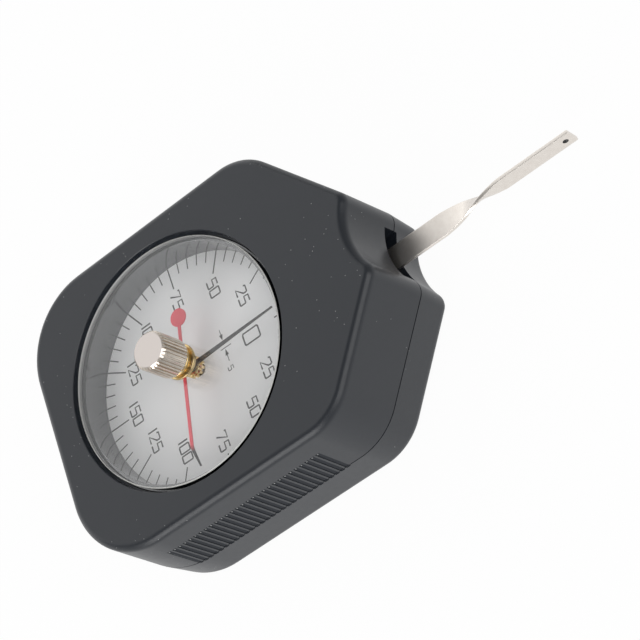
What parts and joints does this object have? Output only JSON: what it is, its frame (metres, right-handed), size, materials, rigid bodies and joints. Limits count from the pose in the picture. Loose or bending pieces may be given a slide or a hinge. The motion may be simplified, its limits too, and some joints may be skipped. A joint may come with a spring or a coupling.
{
  "type": "dial tension gauge",
  "caption": "Hand-held dial tension gauge: flat case with round dial, twisted measuring lever, geared dial pointer, peak pointer with reset knob.",
  "frame": {"origin": "on the flat rear face of the case, under the axis of the dial", "axes": "+Z out of the dial, +Y from the dial axis towards the lever tip, +X to the right as the dial is read"},
  "size_m": [0.0608, 0.1157, 0.0331],
  "materials": {
    "housing_plastic": "fine matte texture",
    "crystal_clear": "clear and polished",
    "ring_grey": "satin grey",
    "dial_face": "pale satin with dark print",
    "knob_nickel": "straight knurl, satin end face",
    "lever_nickel": "plated strip, fine grain",
    "brass": "turned",
    "red_paint": "satin red",
    "black_paint": "satin black",
    "steel": "turned",
    "spring_steel": "blued strip",
    "screw_black": "black oxide"
  },
  "bodies": {
    "case": {"front_housing": "housing_plastic", "rear_housing": "housing_plastic", "case_screws": "screw_black", "crystal": "crystal_clear", "dial_ring": "ring_grey", "dial_plate": "dial_face", "spindle_bush": "brass", "friction_washer": "steel", "hairspring": "spring_steel", "hairspring_stud": "steel", "main_spring": "spring_steel", "spring_stud": "steel", "front_plate": "brass", "rear_plate": "brass", "plate_pillars": "brass", "plate_screws": "steel", "movement_screws": "steel", "lever_bushes": "brass", "arbor_bushes": "brass", "stop_pins": "steel"},
    "lever": {"lever": "lever_nickel", "lever_hub": "brass", "lever_arbor": "steel", "sector_gear": "brass", "lever_screws": "steel", "spring_collet": "brass"},
    "pointer": {"pointer": "black_paint", "pointer_hub": "brass", "pointer_arbor": "steel", "pinion": "brass", "hairspring_collet": "brass"},
    "peak_pointer": {"reset_knob": "knob_nickel", "knob_spindle": "steel", "peak_pointer_hub": "brass", "peak_pointer": "red_paint"}
  },
  "joints": [
    {"name": "lever_swing", "type": "hinge", "parent": "case", "child": "lever", "pos_m": [0, 0.03115, 0.01079], "axis": [0, 0, 1], "range_deg": [-10.71, 10.71], "stiffness_Nm_per_rad": 0.4},
    {"name": "pointer_turn", "type": "hinge", "parent": "case", "child": "pointer", "pos_m": [0, 0, 0.01165], "axis": [0, 0, 1], "continuous": true},
    {"name": "knob_turn", "type": "hinge", "parent": "case", "child": "peak_pointer", "pos_m": [0, 0, 0.0241], "axis": [0, 0, 1], "range_deg": [-255, 100]}
  ],
  "couplings": [
    {"joint": "pointer_turn", "follows": "lever_swing", "ratio": -16.8}
  ]
}
